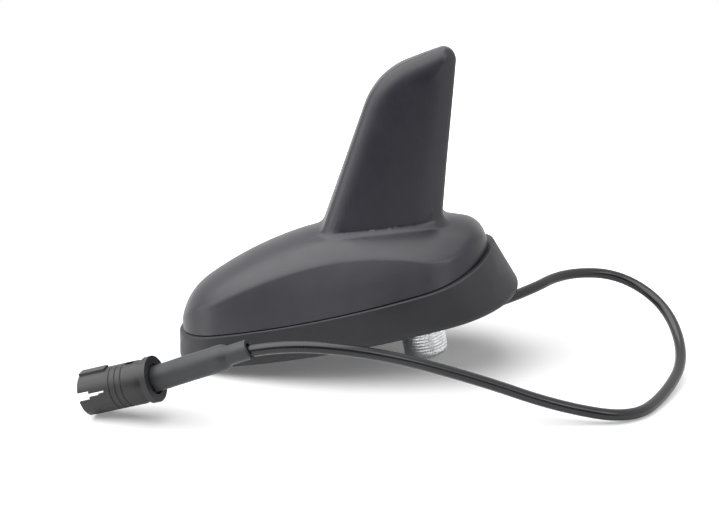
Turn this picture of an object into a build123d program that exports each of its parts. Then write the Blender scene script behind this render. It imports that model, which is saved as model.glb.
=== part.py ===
from build123d import *
import math
import os

# Shark fin aerial for a car roof, in millimetres.
# The origin is on the axis of the roof stud at the roof plane, +X to the tail, +Z up.

# Skirt outline at the roof plane, an egg of four arcs
SKIRT_NOSE_X = -76.7
SKIRT_TAIL_X = 33.4
SKIRT_HALF_WIDTH = 28.9
# How far the radius of each end arc falls short of the half width
SKIRT_NOSE_NARROWING = 8.4
SKIRT_TAIL_NARROWING = 1.5
SKIRT_NOSE_DRAFT = 13.6
SKIRT_SIDE_DRAFT = 4.5
SKIRT_TAIL_DRAFT = 18.8
SKIRT_LIP_R = 2.5
SKIRT_FLANGE = 2.0
SKIRT_RIM_R = 0.5
SKIRT_OPENING_INSET = 3.0
SEAL_GROOVE_INSET = 1.2
SEAL_GROOVE_WIDTH = 1.8
SEAL_GROOVE_DEPTH = 0.9

# Seam between skirt and cover, from the side a climbing line that bends up at the tail
SEAM_Z = 12.0
SEAM_CLIMB = 1.5
SEAM_BEND_X = 3.0
SEAM_BEND_R = 73.0
SEAM_BEND_TURN = 40.0
SEAM_GAP = 0.35

# Cover outline at the seam, set back from the skirt's, and the draft of its walls
COVER_NOSE_SETBACK = 3.5
COVER_NOSE_Z = 10.4
COVER_TAIL_SETBACK = 7.5
COVER_TAIL_Z = 16.7
COVER_SIDE_SETBACK = 1.7
COVER_NOSE_NARROWING = 7.9
COVER_TAIL_NARROWING = 1.2
COVER_FOOT_Z = 8.0
COVER_WALL = 2.4
COVER_LIP_STEP = 1.0
NOSE_DRAFT = 10.0
SIDE_DRAFT = 27.0
TAIL_DRAFT = 3.0
SHOULDER_R = 4.0

# Crest of the dome, points of four arcs tangent to each other, and the crown's axis.
# The points near the ends are measured in from the ends of the cover's outline.
CREST_NOSE_INSET = 0.6
CREST_NOSE_Z = 13.0
CREST_BROW_INSET = 11.2
CREST_BROW_Z = 24.0
CREST_FRONT = (-46.5, 29.4)
CREST_PEAK = (-20.3, 33.0)
CREST_BACK_INSET = 5.4
CREST_BACK_Z = 25.6
CREST_TAIL_INSET = 0.6
CREST_TAIL_Z = 20.0
CROWN_AXIS_Z = 1.0
CREST_OVERRUN = 8.0

# Fin blade
FIN_ROOT_Z = 30.0
FIN_LEAD_X = -24.7
FIN_LEAD_LEAN = 31.4
FIN_TRAIL_X = 14.0
FIN_TRAIL_LEAN = 16.85
FIN_TIP_Z = 79.5
FIN_CREST_SLOPE = 8.8
FIN_FRONT_R = 22.5
FIN_TIP_R = 3.7
# Half thickness halfway along the blade, at the root and at the tip, and how round its flanks are
FIN_ROOT_HALF = 11.4
FIN_TOP_HALF = 5.0
FIN_FLANK_R = 60.0
FIN_EDGE_R = 3.4
FIN_FILLET_R = 3.0
FIN_SUNK = 12.0

# Base plate
PLATE_T = 3.0
SEAT_PAD_R = 13.0
POST_R = 2.2
POST_H = 4.0
LUG_FRONT_X = -14.0
LUG_LENGTH = 3.2
LUG_HALF_WIDTH = 4.0
LUG_DROP = 8.0
LUG_EDGE_R = 1.0

# Fasteners
BOARD_SCREW_R = 1.2
BOARD_SCREW_HEAD_R = 2.2
BOARD_SCREW_HEAD_H = 1.6
BOARD_SCREW_BITE = 3.4
COVER_SCREW_R = 1.4
COVER_SCREW_HEAD_R = 2.6
COVER_SCREW_HEAD_H = 1.5
COVER_SCREW_BITE = 7.0
PILOT_SPARE = 1.0
BOSS_R = 3.0
BOSS_CLEARANCE = 0.5
SCREW_HEAD_ROUND = 0.45
BOARD_SCREW_AT = [(-46.0, 0.0), (-16.0, 12.5), (-16.0, -12.5), (10.0, 9.5)]
FRONT_SCREW_INSET = 11.2
SIDE_SCREW_X = -32.0
SIDE_SCREW_INSET = 10.7
REAR_SCREW_INSET = 5.9
REAR_SCREW_Y = 3.0

# Roof stud, M14
STUD_R = 7.0
STUD_DROP = 15.2
STUD_CHAMFER = 1.2
STUD_COLLAR_R = 7.8
STUD_HEAD_AF = 19.0
STUD_HEAD_H = 3.0

# Electronics
BOARD_T = 1.6
BOARD_INSET = 4.8
BOARD_FRONT_INSET = 21.2
BOARD_REAR_INSET = 9.9
CAN_FRONT_X = -41.0
CAN_LENGTH = 28.0
CAN_HALF_WIDTH = 8.5
CAN_H = 4.4
CAN_WALL = 0.4
RADIATOR_BOARD_T = 1.2
RADIATOR_BOARD_INSET = 4.8
RADIATOR_BOARD_FOOT_Z = 34.0
TAB_FRONT_X = -6.0
TAB_REAR_X = 8.0
HOLDER_FRONT_X = -9.0
HOLDER_LENGTH = 12.0
HOLDER_HALF_WIDTH = 3.0
HOLDER_H = 6.0
HOLDER_FLOOR = 2.0
HOLDER_EDGE_R = 1.0
COPPER_T = 0.25
COPPER_W = 1.6
COPPER_TURNS = 4
COPPER_PITCH = 3.6
SPRING_T = 0.4
SPRING_W = 2.6
SPRING_FOOT = 4.0

# Cable outlet and cable
CABLE_R = 1.65
CABLE_EXIT = (21.5, -6.3, -1.8)
OUTLET_HEADING = 20.2
OUTLET_LENGTH = 8.0
OUTLET_R = 3.0
OUTLET_ELBOW_R = 3.1
OUTLET_END_R = 2.3
OUTLET_NECK_R = 2.6
OUTLET_COLLAR_R = 3.4
OUTLET_COLLAR_H = 1.0

# Plug on the end of the cable
PLUG_REAR = (-74.1, -51.9, 13.0)
PLUG_HEADING = (-22.5, 5.6, -2.2)
PLUG_LENGTH = 21.8
PLUG_R = 6.25
PLUG_COLLAR_R = 6.6
PLUG_COLLAR_T = 1.8
PLUG_NECK_R = 5.4
PLUG_NECK_LENGTH = 2.4
PLUG_MOUTH_R = 5.0
PLUG_MOUTH_DEPTH = 10.0
PLUG_SEAT_R = 4.2
PLUG_SEAT_DEPTH = 8.0
PLUG_RECESS_R = 4.4
PLUG_RECESS_DEPTH = 1.0
PLUG_REAR_BORE_R = 3.4
RING_COUNT = 3
RING_PITCH = 1.9
RING_FROM_MOUTH = 10.0
RING_DEPTH = 0.25
SLOT_WIDE = 2.3
SLOT_WIDE_LENGTH = 3.4
SLOT_NARROW = 0.9
SLOT_LENGTH = 8.2
SLOT_TURN = 13.0
KEY_WIDTH = 3.0
KEY_HEIGHT = 0.45
KEY_LENGTH = 8.2
WINDOW_FROM_REAR = 6.0
WINDOW_LENGTH = 3.0
WINDOW_WIDTH = 1.8
WINDOW_DEPTH = 1.2
CONTACT_RING_T = 0.6
CONTACT_RING_LENGTH = 3.0
CENTRE_CONTACT_R = 0.9
CENTRE_BORE_R = 0.45
FERRULE_R = 2.8
SHRINK_HEADING = (29.1, -8.1, 5.7)
SHRINK_LENGTH = 30.6
SHRINK_R = 3.75
SHRINK_THIN_R = 2.85
SHRINK_THIN_BORE_R = 2.2
SHRINK_BODY = 22.0
SHRINK_STEP = 3.0
FERRULE_LENGTH = 20.0

# Route of the cable from the outlet to the ferrule, lying in a loose loop
CABLE_ROUTE = [
    CABLE_EXIT,
    (34.3, -1.6, -1.8),
    (48.0, 14.2, -3.3),
    (66.0, 18.6, -9.0),
    (77.8, 7.5, -19.2),
    (77.4, -14.5, -28.7),
    (66.5, -37.0, -29.4),
    (54.0, -54.5, -26.8),
    (34.0, -53.3, -19.0),
    (13.0, -55.5, -4.7),
    (-12.0, -60.5, 10.7),
]
CABLE_LAST_BEND = 36.0
# Share of the shorter run that each rounded corner takes up
BEND_SHARE = 0.45

# Clearances, and how near counts as touching
FIT = 0.1
SCREW_FIT = 0.05
TOUCH = 0.001

# Places that follow from the sizes above
COVER_NOSE_X = SKIRT_NOSE_X + COVER_NOSE_SETBACK
COVER_TAIL_X = SKIRT_TAIL_X - COVER_TAIL_SETBACK
COVER_HALF_WIDTH = SKIRT_HALF_WIDTH - COVER_SIDE_SETBACK
CREST = [
    (COVER_NOSE_X + CREST_NOSE_INSET, CREST_NOSE_Z),
    (COVER_NOSE_X + CREST_BROW_INSET, CREST_BROW_Z),
    CREST_FRONT,
    CREST_PEAK,
    (COVER_TAIL_X - CREST_BACK_INSET, CREST_BACK_Z),
    (COVER_TAIL_X - CREST_TAIL_INSET, CREST_TAIL_Z),
]
COVER_SCREW_AT = [
    (COVER_NOSE_X + FRONT_SCREW_INSET, 0.0),
    (SIDE_SCREW_X, COVER_HALF_WIDTH - SIDE_SCREW_INSET),
    (SIDE_SCREW_X, SIDE_SCREW_INSET - COVER_HALF_WIDTH),
    (COVER_TAIL_X - REAR_SCREW_INSET, REAR_SCREW_Y),
]
BOARD_FRONT_X = COVER_NOSE_X + BOARD_FRONT_INSET
BOARD_REAR_X = COVER_TAIL_X - BOARD_REAR_INSET
PLATE_BOTTOM = SKIRT_FLANGE
PLATE_TOP = PLATE_BOTTOM + PLATE_T
BOARD_BOTTOM = PLATE_TOP + POST_H
BOARD_TOP = BOARD_BOTTOM + BOARD_T
WALL_TOP = CREST_PEAK[1] + COVER_WALL
SKIRT_TOP = COVER_TAIL_Z + COVER_WALL

# Points of an outline that is one closed curve
OUTLINE_POINTS = 48

# Reach of the cutting shapes past the part
OVERRUN = 1.0
FAR = 300.0


def tan(degrees):
    return math.tan(math.radians(degrees))


def egg(nose_x, tail_x, half_width, nose_narrowing, tail_narrowing):
    """Plan outline of a nose arc, a tail arc and two side arcs, tangent all round."""
    nose_c = nose_x + half_width - nose_narrowing
    tail_c = tail_x - half_width + tail_narrowing
    a = tail_narrowing - nose_narrowing
    b = 2 * (nose_narrowing * tail_c - tail_narrowing * nose_c)
    c = tail_narrowing * (nose_c**2 - nose_narrowing**2) - nose_narrowing * (tail_c**2 - tail_narrowing**2)
    side_x = -2 * c / (b + math.sqrt(b * b - 4 * a * c))
    side_y = ((nose_c - side_x) ** 2 - nose_narrowing**2) / (2 * nose_narrowing)
    side_r = side_y + half_width
    side_c = Vector(side_x, -side_y)
    nose_t = side_c + (Vector(nose_c, 0) - side_c).normalized() * side_r
    tail_t = side_c + (Vector(tail_c, 0) - side_c).normalized() * side_r
    nose_b = Vector(nose_t.X, -nose_t.Y)
    tail_b = Vector(tail_t.X, -tail_t.Y)
    outline = ThreePointArc(nose_b, (nose_x, 0), nose_t)
    outline += ThreePointArc(nose_t, (side_x, half_width), tail_t)
    outline += ThreePointArc(tail_t, (tail_x, 0), tail_b)
    outline += ThreePointArc(tail_b, (side_x, -half_width), nose_b)
    return make_face(outline)


def smooth_egg(*sizes):
    """The same outline as one closed curve, for walls that are lofted."""
    rim = egg(*sizes).face().outer_wire()
    points = [rim @ (step / OUTLINE_POINTS) for step in range(OUTLINE_POINTS)]
    return make_face(Spline(*points, periodic=True))


def skirt_egg(inset=0.0):
    return egg(
        SKIRT_NOSE_X + inset,
        SKIRT_TAIL_X - inset,
        SKIRT_HALF_WIDTH - inset,
        SKIRT_NOSE_NARROWING,
        SKIRT_TAIL_NARROWING,
    )


def cover_egg(inset=0.0):
    return egg(
        COVER_NOSE_X + inset,
        COVER_TAIL_X - inset,
        COVER_HALF_WIDTH - inset,
        COVER_NOSE_NARROWING,
        COVER_TAIL_NARROWING,
    )


def cover_prism(inset, z_low, z_high):
    """Upright prism of the cover's outline, inset, between two heights."""
    return extrude(Plane.XY.offset(z_low) * cover_egg(inset), z_high - z_low)


def round_post(x, y, r, z_low, z_high):
    return Pos(x, y, z_low) * Cylinder(r, z_high - z_low, align=(Align.CENTER, Align.CENTER, Align.MIN))


def block(x_low, x_high, y_low, y_high, z_low, z_high):
    size = (x_high - x_low, y_high - y_low, z_high - z_low)
    return Pos(x_low, y_low, z_low) * Box(*size, align=(Align.MIN, Align.MIN, Align.MIN))


def turned(points):
    """Solid turned about Z from a closed outline of radius and height pairs."""
    return revolve(Plane.XZ * make_face(Polyline(*points, close=True)), Axis.Z)


def seam_block(lift=0.0):
    """Everything under the seam, which can be lifted by the gap."""
    climb = tan(SEAM_CLIMB)
    start = (-FAR, SEAM_Z + lift - FAR * climb)
    bend = (SEAM_BEND_X, SEAM_Z + lift + SEAM_BEND_X * climb)
    arc = JernArc(bend, (1, climb), SEAM_BEND_R, SEAM_BEND_TURN)
    end = arc @ 1
    outline = Line(start, bend) + arc + Polyline(end, (end.X, -FAR), (-FAR, -FAR), start)
    return extrude(Plane.XZ * make_face(outline), FAR, both=True)


def cover_ring(z, inset):
    """Outline of the cover's walls at a height, each end and the sides with its own draft."""
    half_width = COVER_HALF_WIDTH - (z - SEAM_Z) * tan(SIDE_DRAFT)
    scale = half_width / COVER_HALF_WIDTH
    ring = smooth_egg(
        COVER_NOSE_X + (z - COVER_NOSE_Z) * tan(NOSE_DRAFT) + inset,
        COVER_TAIL_X - (z - COVER_TAIL_Z) * tan(TAIL_DRAFT) - inset,
        half_width - inset,
        COVER_NOSE_NARROWING * scale,
        COVER_TAIL_NARROWING * scale,
    )
    return Plane.XY.offset(z) * ring


def cover_walls(inset):
    return loft([cover_ring(COVER_FOOT_Z, inset), cover_ring(WALL_TOP, inset)], ruled=True)


# The crown is turned about a level axis, so it rounds over to both sides
def crown(inset):
    nose, brow, front, peak, back, tail = [(x, z - inset) for x, z in CREST]
    front_arc = ThreePointArc(brow, front, peak)
    nose_arc = TangentArc(brow, nose, tangent=(front_arc % 0) * -1)
    back_arc = TangentArc(peak, back, tangent=front_arc % 1)
    tail_arc = TangentArc(back, tail, tangent=back_arc % 1)
    nose_end = Vector(*nose) + (nose_arc % 1) * CREST_OVERRUN
    tail_end = Vector(*tail) + (tail_arc % 1) * CREST_OVERRUN
    outline = Line(nose_end, nose) + nose_arc + front_arc + back_arc + tail_arc + Line(tail, tail_end)
    outline += Polyline(
        tail_end, (tail_end.X, CROWN_AXIS_Z), (nose_end.X, CROWN_AXIS_Z), nose_end
    )
    axis = Axis((0, 0, CROWN_AXIS_Z), (1, 0, 0))
    return revolve(Plane.XZ * make_face(outline), axis).rotate(axis, 180)


def fin_profile(inset=0.0):
    """Side outline of the blade, from inside the dome up to the crest."""
    low = FIN_ROOT_Z - FIN_SUNK
    slope = tan(FIN_CREST_SLOPE)
    tip_x = FIN_TRAIL_X + (FIN_TIP_Z - FIN_ROOT_Z) * tan(FIN_TRAIL_LEAN)
    lead = tan(FIN_LEAD_LEAN)
    front_x = (FIN_LEAD_X + lead * (FIN_TIP_Z - FIN_ROOT_Z - slope * tip_x)) / (1 - lead * slope)
    front = (front_x, FIN_TIP_Z + (front_x - tip_x) * slope)
    tip = (tip_x, FIN_TIP_Z)
    lead_foot = (FIN_LEAD_X - FIN_SUNK * lead, low)
    trail_foot = (FIN_TRAIL_X - FIN_SUNK * tan(FIN_TRAIL_LEAN), low)
    face = make_face(Polyline(lead_foot, front, tip, trail_foot, close=True))
    face = fillet(face.vertices().sort_by_distance(front)[0], FIN_FRONT_R)
    face = fillet(face.vertices().sort_by_distance(tip)[0], FIN_TIP_R)
    return offset(face, -inset) if inset else face


def fin_flank(side, inset):
    """Leaning round bar whose skin is one bowed flank of the blade, -1 for the near one."""
    rise = FIN_TIP_Z - FIN_ROOT_Z
    root_x = (FIN_LEAD_X + FIN_TRAIL_X) / 2
    tip_x = root_x + rise * (tan(FIN_LEAD_LEAN) + tan(FIN_TRAIL_LEAN)) / 2
    foot = Vector(root_x, side * (FIN_ROOT_HALF - FIN_FLANK_R), FIN_ROOT_Z)
    top = Vector(tip_x, side * (FIN_TOP_HALF - FIN_FLANK_R), FIN_TIP_Z)
    bar = Plane(origin=foot, x_dir=(0, -side, 0), z_dir=top - foot)
    return bar * Cylinder(FIN_FLANK_R - inset, FAR)


def fin(inset=0.0):
    blade = extrude(Plane.XZ * fin_profile(inset), SKIRT_HALF_WIDTH, both=True)
    return blade & fin_flank(-1, inset) & fin_flank(1, inset)


def rounded_fin():
    blade = fin()
    low = blade.bounding_box().min.Z
    rims = [
        edge
        for edge in blade.edges()
        if abs((edge @ 0.5).Y) > OVERRUN and (edge @ 0.5).Z > low + OVERRUN
    ]
    return fillet(rims, FIN_EDGE_R)


def shared_edges(body, first, second):
    """Edges of a body that lie on the surfaces of two others."""
    found = []
    for edge in body.edges():
        middle = edge @ 0.5
        if all(min(face.distance_to(middle) for face in other.faces()) < TOUCH for other in (first, second)):
            found.append(edge)
    return found


def make_fin_cover():
    walls = cover_walls(0)
    top = crown(0)
    body = walls & top
    body = fillet(shared_edges(body, walls, top), SHOULDER_R)
    under_seam = seam_block(SEAM_GAP)
    body -= under_seam
    blade = rounded_fin()
    root = shared_edges(body + blade, body, blade)
    body = fillet(root, FIN_FILLET_R)
    lip = cover_prism(COVER_LIP_STEP, PLATE_TOP, WALL_TOP) & under_seam
    well = cover_prism(COVER_WALL, PLATE_TOP, WALL_TOP) & under_seam
    hollow = (cover_walls(COVER_WALL) & crown(COVER_WALL)) - under_seam + fin(COVER_WALL)
    solid = body + lip
    shell = solid - hollow - well
    for x, y in COVER_SCREW_AT:
        shell += round_post(x, y, BOSS_R, PLATE_TOP, WALL_TOP) & solid
    for x, y in COVER_SCREW_AT:
        pilot_top = PLATE_TOP + COVER_SCREW_BITE + PILOT_SPARE
        shell -= round_post(x, y, COVER_SCREW_R + SCREW_FIT, PLATE_TOP, pilot_top)
    return shell


def skirt_ring(z):
    """Outline of the skirt's walls at a height, each end and the sides with its own draft."""
    half_width = SKIRT_HALF_WIDTH - z * tan(SKIRT_SIDE_DRAFT)
    scale = half_width / SKIRT_HALF_WIDTH
    ring = smooth_egg(
        SKIRT_NOSE_X + z * tan(SKIRT_NOSE_DRAFT),
        SKIRT_TAIL_X - z * tan(SKIRT_TAIL_DRAFT),
        half_width,
        SKIRT_NOSE_NARROWING * scale,
        SKIRT_TAIL_NARROWING * scale,
    )
    return Plane.XY.offset(z) * ring


def make_rubber_skirt():
    skirt = loft([skirt_ring(0), skirt_ring(SKIRT_TOP)], ruled=True)
    skirt = fillet(skirt.faces().sort_by(Axis.Z)[0].edges(), SKIRT_LIP_R)
    walls = skirt
    under_seam = seam_block()
    skirt &= under_seam
    skirt = fillet(shared_edges(skirt, walls, under_seam), SKIRT_RIM_R)
    pocket = cover_prism(COVER_LIP_STEP - FIT, SKIRT_FLANGE, SKIRT_TOP)
    opening = cover_prism(SKIRT_OPENING_INSET, 0, SKIRT_FLANGE)
    groove = skirt_egg(SKIRT_LIP_R + SEAL_GROOVE_INSET)
    groove -= skirt_egg(SKIRT_LIP_R + SEAL_GROOVE_INSET + SEAL_GROOVE_WIDTH)
    skirt -= pocket + opening
    skirt -= extrude(groove, SEAL_GROOVE_DEPTH)
    return skirt - outlet_arm(FIT)


def outlet_hole():
    """Centre of the cable hole in the base plate, behind the outlet's end."""
    heading = math.radians(OUTLET_HEADING)
    return (
        CABLE_EXIT[0] - OUTLET_LENGTH * math.cos(heading),
        CABLE_EXIT[1] - OUTLET_LENGTH * math.sin(heading),
    )


def make_base_plate():
    plate = cover_prism(COVER_LIP_STEP, PLATE_BOTTOM, PLATE_TOP)
    plate += round_post(0, 0, SEAT_PAD_R, 0, PLATE_BOTTOM)
    lug = block(
        LUG_FRONT_X, LUG_FRONT_X + LUG_LENGTH, -LUG_HALF_WIDTH, LUG_HALF_WIDTH, -LUG_DROP, PLATE_BOTTOM
    )
    plate += fillet(lug.edges().filter_by(Axis.Z), LUG_EDGE_R)
    for x, y in BOARD_SCREW_AT:
        plate += round_post(x, y, POST_R, PLATE_TOP, BOARD_BOTTOM)
    for x, y in BOARD_SCREW_AT:
        plate -= round_post(x, y, BOARD_SCREW_R + SCREW_FIT, BOARD_BOTTOM - BOARD_SCREW_BITE, BOARD_BOTTOM)
    for x, y in COVER_SCREW_AT:
        plate -= round_post(x, y, COVER_SCREW_R + SCREW_FIT, PLATE_BOTTOM, PLATE_TOP)
        sink_r = COVER_SCREW_HEAD_R + FIT
        plate -= round_post(x, y, sink_r, PLATE_BOTTOM, PLATE_BOTTOM + COVER_SCREW_HEAD_H + FIT)
    hole_x, hole_y = outlet_hole()
    plate -= round_post(hole_x, hole_y, OUTLET_NECK_R + SCREW_FIT, PLATE_BOTTOM, PLATE_TOP)
    return plate - round_post(0, 0, STUD_COLLAR_R + FIT, 0, PLATE_TOP)


def make_threaded_stud():
    shank = round_post(0, 0, STUD_R, -STUD_DROP, 0)
    shank = chamfer(shank.edges().group_by(Axis.Z)[0], STUD_CHAMFER)
    shank += round_post(0, 0, STUD_COLLAR_R, 0, PLATE_TOP)
    head_face = RegularPolygon(STUD_HEAD_AF / 2, 6, major_radius=False)
    head = extrude(Plane.XY.offset(PLATE_TOP) * head_face, STUD_HEAD_H)
    return shank + head


def pan_screw(head_r, head_h, r, bite):
    """Screw pointing down, the underside of its head at zero."""
    head = round_post(0, 0, head_r, 0, head_h)
    head = fillet(head.edges().group_by(Axis.Z)[-1], head_h * SCREW_HEAD_ROUND)
    return head + round_post(0, 0, r, -bite, 0)


def make_board_screws():
    bite = BOARD_T + BOARD_SCREW_BITE - FIT
    screw = pan_screw(BOARD_SCREW_HEAD_R, BOARD_SCREW_HEAD_H, BOARD_SCREW_R, bite)
    return Compound([Pos(x, y, BOARD_TOP) * screw for x, y in BOARD_SCREW_AT])


def make_cover_screws():
    head_seat = PLATE_BOTTOM + COVER_SCREW_HEAD_H + FIT
    bite = PLATE_TOP - head_seat + COVER_SCREW_BITE
    screw = pan_screw(COVER_SCREW_HEAD_R, COVER_SCREW_HEAD_H, COVER_SCREW_R, bite)
    screw = Rot(180, 0, 0) * screw
    return Compound([Pos(x, y, head_seat) * screw for x, y in COVER_SCREW_AT])


def make_circuit_board():
    board = cover_prism(BOARD_INSET, BOARD_BOTTOM, BOARD_TOP)
    wide = COVER_HALF_WIDTH
    board &= block(BOARD_FRONT_X, BOARD_REAR_X, -wide, wide, BOARD_BOTTOM, BOARD_TOP)
    for x, y in COVER_SCREW_AT:
        board -= round_post(x, y, BOSS_R + BOSS_CLEARANCE, BOARD_BOTTOM, BOARD_TOP)
    for x, y in BOARD_SCREW_AT:
        board -= round_post(x, y, BOARD_SCREW_R + SCREW_FIT, BOARD_BOTTOM, BOARD_TOP)
    return board


def make_shield_can():
    rear = CAN_FRONT_X + CAN_LENGTH
    can = block(CAN_FRONT_X, rear, -CAN_HALF_WIDTH, CAN_HALF_WIDTH, BOARD_TOP, BOARD_TOP + CAN_H)
    can = fillet(can.edges().filter_by(Axis.Z), 2 * CAN_WALL)
    half = CAN_HALF_WIDTH - CAN_WALL
    return can - block(
        CAN_FRONT_X + CAN_WALL, rear - CAN_WALL, -half, half, BOARD_TOP, BOARD_TOP + CAN_H - CAN_WALL
    )


def tab_bottom():
    return BOARD_TOP + HOLDER_FLOOR


def make_radiator_board():
    half = RADIATOR_BOARD_T / 2
    blade = extrude(Plane.XZ * fin_profile(RADIATOR_BOARD_INSET), half, both=True)
    blade &= block(-FAR, FAR, -half, half, RADIATOR_BOARD_FOOT_Z, FAR)
    tab = block(TAB_FRONT_X, TAB_REAR_X, -half, half, tab_bottom(), RADIATOR_BOARD_FOOT_Z + OVERRUN)
    return blade + tab


def make_board_holder():
    rear = HOLDER_FRONT_X + HOLDER_LENGTH
    top = BOARD_TOP + HOLDER_H
    holder = block(HOLDER_FRONT_X, rear, -HOLDER_HALF_WIDTH, HOLDER_HALF_WIDTH, BOARD_TOP, top)
    holder = fillet(holder.edges().filter_by(Axis.Z), HOLDER_EDGE_R)
    half = RADIATOR_BOARD_T / 2 + SCREW_FIT
    return holder - block(TAB_FRONT_X - SCREW_FIT, FAR, -half, half, tab_bottom(), top)


def spring_x():
    """Centre of the feed spring, between the holder and the edge of the tab."""
    return (HOLDER_FRONT_X + HOLDER_LENGTH + TAB_REAR_X) / 2


def make_radiator_copper():
    """Folded copper track on the near face of the radiator board, with its feed."""
    near = -RADIATOR_BOARD_T / 2
    low = RADIATOR_BOARD_FOOT_Z + COPPER_W
    half_span = (TAB_REAR_X - TAB_FRONT_X) / 2 - COPPER_W
    middle = (TAB_REAR_X + TAB_FRONT_X) / 2
    lean = (tan(FIN_LEAD_LEAN) + tan(FIN_TRAIL_LEAN)) / 2
    points = [(spring_x(), tab_bottom() + COPPER_W), (spring_x(), low)]
    for turn in range(COPPER_TURNS):
        z = low + 2 * turn * COPPER_PITCH
        x = middle + (z - low) * lean
        points += [(x - half_span, z), (x - half_span, z + COPPER_PITCH)]
        points += [(x + half_span, z + COPPER_PITCH), (x + half_span, z + 2 * COPPER_PITCH)]
    track = Sketch()
    for start, end in zip(points, points[1:]):
        run = Vector(*end) - Vector(*start)
        centre = (Vector(*start) + Vector(*end)) * 0.5
        strip = Rectangle(run.length + COPPER_W, COPPER_W)
        track += Pos(centre.X, centre.Y) * Rot(0, 0, math.degrees(math.atan2(run.Y, run.X))) * strip
    return extrude(Plane.XZ.offset(-near) * track, COPPER_T)


def make_feed_spring():
    """Bent strip from the circuit board to the foot of the copper track."""
    touch = -RADIATOR_BOARD_T / 2 - COPPER_T
    top = tab_bottom() + 4 * COPPER_W
    foot_y = touch - SPRING_FOOT
    strip = Polyline(
        (foot_y, BOARD_TOP),
        (touch - SPRING_T, BOARD_TOP),
        (touch - 3 * SPRING_T, BOARD_TOP + SPRING_FOOT / 2),
        (touch, top - COPPER_W),
        (touch, top),
        (touch - SPRING_T, top),
        (touch - SPRING_T, top - COPPER_W + SPRING_T),
        (touch - 4 * SPRING_T, BOARD_TOP + SPRING_FOOT / 2),
        (touch - 3 * SPRING_T, BOARD_TOP + SPRING_T),
        (foot_y, BOARD_TOP + SPRING_T),
        close=True,
    )
    return extrude(Plane.YZ.offset(spring_x()) * make_face(strip), SPRING_W / 2, both=True)


def outlet_arm(clearance=0.0):
    """Tapered arm of the outlet, from over the plate hole to the cable's exit."""
    hole_x, hole_y = outlet_hole()
    corner = Vector(hole_x, hole_y, CABLE_EXIT[2])
    arm = Plane(origin=corner, z_dir=Vector(*CABLE_EXIT) - corner)
    return arm * Cone(
        OUTLET_R + clearance,
        OUTLET_END_R + clearance,
        OUTLET_LENGTH,
        align=(Align.CENTER, Align.CENTER, Align.MIN),
    )


def make_cable_outlet():
    """Rubber elbow that turns the cable from the plate hole to the tail."""
    hole_x, hole_y = outlet_hole()
    elbow = round_post(hole_x, hole_y, OUTLET_R, CABLE_EXIT[2], PLATE_BOTTOM)
    elbow += Pos(hole_x, hole_y, CABLE_EXIT[2]) * Sphere(OUTLET_ELBOW_R)
    elbow += outlet_arm()
    elbow += round_post(hole_x, hole_y, OUTLET_NECK_R, PLATE_BOTTOM, PLATE_TOP)
    elbow += round_post(hole_x, hole_y, OUTLET_COLLAR_R, PLATE_TOP, PLATE_TOP + OUTLET_COLLAR_H)
    return elbow


def make_cable_terminal():
    """Brass terminal between the outlet and the underside of the circuit board."""
    hole_x, hole_y = outlet_hole()
    return round_post(hole_x, hole_y, CABLE_R, PLATE_TOP + OUTLET_COLLAR_H, BOARD_BOTTOM)


plug_axis = Vector(*PLUG_HEADING).normalized()
shrink_axis = Vector(*SHRINK_HEADING).normalized()
# Local X of the plug points to the near side, where the slot shows
plug_frame = Plane(
    origin=PLUG_REAR,
    x_dir=plug_axis.cross(Vector(0, 0, 1)).normalized() * -1,
    z_dir=plug_axis,
)
shrink_frame = Plane(origin=PLUG_REAR, z_dir=shrink_axis)
PLUG_SEAT_FRONT = PLUG_LENGTH - PLUG_MOUTH_DEPTH
PLUG_SEAT_REAR = PLUG_SEAT_FRONT - PLUG_SEAT_DEPTH


def make_plug_sleeve():
    body = [(0, 0), (PLUG_COLLAR_R, 0), (PLUG_COLLAR_R, PLUG_COLLAR_T), (PLUG_NECK_R, PLUG_COLLAR_T)]
    body += [(PLUG_R, PLUG_COLLAR_T + PLUG_NECK_LENGTH)]
    for ring in reversed(range(RING_COUNT)):
        z = PLUG_LENGTH - RING_FROM_MOUTH - ring * RING_PITCH
        body += [(PLUG_R, z - RING_DEPTH), (PLUG_R - RING_DEPTH, z), (PLUG_R, z + RING_DEPTH)]
    body += [(PLUG_R, PLUG_LENGTH), (0, PLUG_LENGTH)]
    sleeve = turned(body)
    sleeve += Pos(0, PLUG_R, PLUG_LENGTH - KEY_LENGTH) * Box(
        KEY_WIDTH, 2 * KEY_HEIGHT, KEY_LENGTH, align=(Align.CENTER, Align.CENTER, Align.MIN)
    )
    sleeve -= round_post(0, 0, PLUG_MOUTH_R, PLUG_SEAT_FRONT, PLUG_LENGTH)
    sleeve -= round_post(0, 0, PLUG_SEAT_R, PLUG_SEAT_REAR, PLUG_SEAT_FRONT)
    sleeve -= round_post(0, 0, PLUG_REAR_BORE_R, 0, PLUG_SEAT_REAR)
    sleeve -= round_post(0, 0, PLUG_RECESS_R, 0, PLUG_RECESS_DEPTH)
    reach = PLUG_COLLAR_R
    slot = block(-reach, reach, -SLOT_WIDE / 2, SLOT_WIDE / 2, PLUG_LENGTH - SLOT_WIDE_LENGTH, PLUG_LENGTH)
    slot += block(-reach, reach, -SLOT_NARROW / 2, SLOT_NARROW / 2, PLUG_LENGTH - SLOT_LENGTH, PLUG_LENGTH)
    sleeve -= Rot(0, 0, SLOT_TURN) * slot
    window = SlotOverall(WINDOW_LENGTH, WINDOW_WIDTH, rotation=90)
    window_plane = Plane(origin=(0, PLUG_R, WINDOW_FROM_REAR), x_dir=(1, 0, 0), z_dir=(0, 1, 0))
    sleeve -= extrude(window_plane * window, WINDOW_DEPTH, both=True)
    return plug_frame.location * sleeve


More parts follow.
